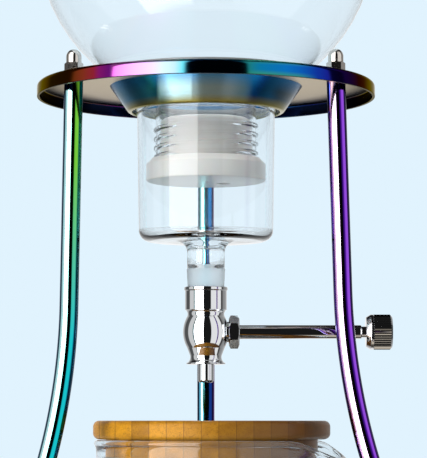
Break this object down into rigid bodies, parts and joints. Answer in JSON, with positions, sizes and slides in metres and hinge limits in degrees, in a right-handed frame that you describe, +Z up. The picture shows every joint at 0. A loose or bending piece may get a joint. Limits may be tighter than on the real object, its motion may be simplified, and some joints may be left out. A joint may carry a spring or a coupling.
{
  "type": "cold drip coffee tower",
  "caption": "Cold drip coffee tower: glass globe on a bent-leg steel stand, drip chamber with a needle valve, and a glass carafe with a bamboo filter lid.",
  "frame": {"origin": "on the tower's axis at the level of the table, under the valve's nozzle", "axes": "+Z up along the tower's axis, +X along the valve's spindle to the knob, +Y to the rear leg; the carafe slides out to -Y"},
  "size_m": [0.2152, 0.1981, 0.4092],
  "materials": {
    "rainbow_steel": "polished stainless steel with a rainbow PVD coating",
    "satin_blue_steel": "lathe-brushed stainless steel with a blue PVD coating",
    "stainless": "satin stainless steel",
    "polished_stainless": "polished stainless steel",
    "chrome_plate": "bright chrome on brass",
    "clear_glass": "clear borosilicate glass, ground joint frosted",
    "clear_silicone": "translucent silicone",
    "black_rubber": "matt black rubber",
    "white_plastic": "glossy white polypropylene",
    "ptfe": "white PTFE",
    "bamboo": "laminated bamboo, satin oil"
  },
  "bodies": {
    "stand": {"support_ring": "rainbow_steel", "funnel_collar": "satin_blue_steel", "chamber_seat_ring": "clear_silicone", "globe_seat_ring": "clear_silicone", "leg_left": "rainbow_steel", "leg_right": "rainbow_steel", "leg_rear": "rainbow_steel", "leg_studs": "stainless", "acorn_nuts": "polished_stainless", "rubber_feet": "black_rubber"},
    "chamber": {"drip_chamber_glass": "clear_glass"},
    "globe": {"globe_glass": "clear_glass", "neck_insert": "white_plastic"},
    "cap_travel": {"cap_gasket": "clear_silicone"},
    "cap": {"screw_cap": "white_plastic"},
    "valve": {"valve_body": "chrome_plate", "socket_washer": "clear_silicone", "needle_seat": "ptfe", "drip_nozzle": "chrome_plate", "packing_nut": "chrome_plate", "packing_ring": "ptfe"},
    "spindle_travel": {"stem_o_ring": "black_rubber"},
    "spindle": {"valve_spindle": "chrome_plate", "knurled_knob": "chrome_plate", "knob_set_screw": "stainless"},
    "carafe": {"carafe_glass": "clear_glass"},
    "lid": {"bamboo_lid": "bamboo", "lid_seal_ring": "clear_silicone"},
    "filter": {"filter_cup": "stainless", "filter_screen": "stainless"}
  },
  "joints": [
    {"name": "chamber_lift", "type": "slide", "parent": "stand", "child": "chamber", "axis": [0, 0, 1], "range_m": [0, 0.06]},
    {"name": "globe_lift", "type": "slide", "parent": "chamber", "child": "globe", "axis": [0, 0, 1], "range_m": [0, 0.08]},
    {"name": "cap_advance", "type": "slide", "parent": "globe", "child": "cap_travel", "axis": [0, 0, -1], "range_m": [0, 0.008]},
    {"name": "cap_unscrew", "type": "hinge", "parent": "cap_travel", "child": "cap", "pos_m": [0, 0, 0.2358], "axis": [0, 0, -1], "range_deg": [0, 720]},
    {"name": "valve_pull", "type": "slide", "parent": "chamber", "child": "valve", "axis": [0, 0, -1], "range_m": [0, 0.014]},
    {"name": "spindle_advance", "type": "slide", "parent": "valve", "child": "spindle_travel", "axis": [1, 0, 0], "range_m": [0, 0.002]},
    {"name": "knob_turn", "type": "hinge", "parent": "spindle_travel", "child": "spindle", "pos_m": [0.075, 0, 0.1655], "axis": [1, 0, 0], "range_deg": [0, 720]},
    {"name": "carafe_slide", "type": "slide", "parent": "stand", "child": "carafe", "axis": [0, -1, 0], "range_m": [0, 0.15]},
    {"name": "lid_lift", "type": "slide", "parent": "carafe", "child": "lid", "axis": [0, 0, 1], "range_m": [0, 0.03]},
    {"name": "filter_lift", "type": "slide", "parent": "lid", "child": "filter", "axis": [0, 0, 1], "range_m": [0, 0.03]}
  ],
  "couplings": [
    {"joint": "cap_advance", "follows": "cap_unscrew", "m_per_rad": 0.00063662},
    {"joint": "knob_turn", "follows": "spindle_advance", "rad_per_m": 6283.2}
  ]
}
